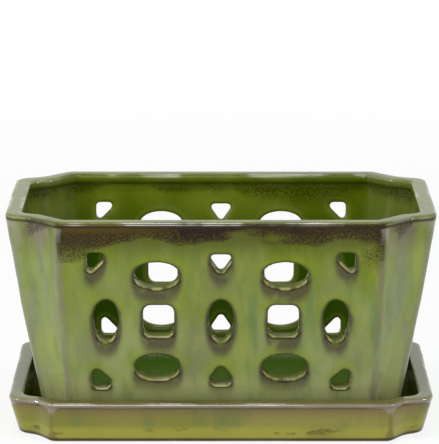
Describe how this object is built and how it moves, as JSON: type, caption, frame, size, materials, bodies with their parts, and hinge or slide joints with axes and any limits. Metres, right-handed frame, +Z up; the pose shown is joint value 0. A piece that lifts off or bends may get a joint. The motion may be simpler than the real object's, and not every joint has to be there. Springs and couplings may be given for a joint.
{
  "type": "orchid pot with slots",
  "caption": "Flared rectangular glazed ceramic orchid planter with coved corners, cut-out slots in its long walls for air and roots, drain holes and a matching lift-out saucer.",
  "frame": {"origin": "on the ground under the middle of the saucer", "axes": "+Z up, +X along the planter's length, -Y towards the front"},
  "size_m": [0.2516, 0.1502, 0.132],
  "materials": {
    "pot_glaze": "glossy mottled green glaze over stoneware, breaking to grey-brown on edges",
    "saucer_glaze": "glossy mottled olive glaze over stoneware, breaking to grey-brown on edges"
  },
  "bodies": {
    "saucer": {"saucer": "saucer_glaze"},
    "pot": {"pot": "pot_glaze"}
  },
  "joints": [
    {"name": "pot_lift", "type": "slide", "parent": "saucer", "child": "pot", "axis": [0, 0, 1], "range_m": [0, 0.06]}
  ]
}
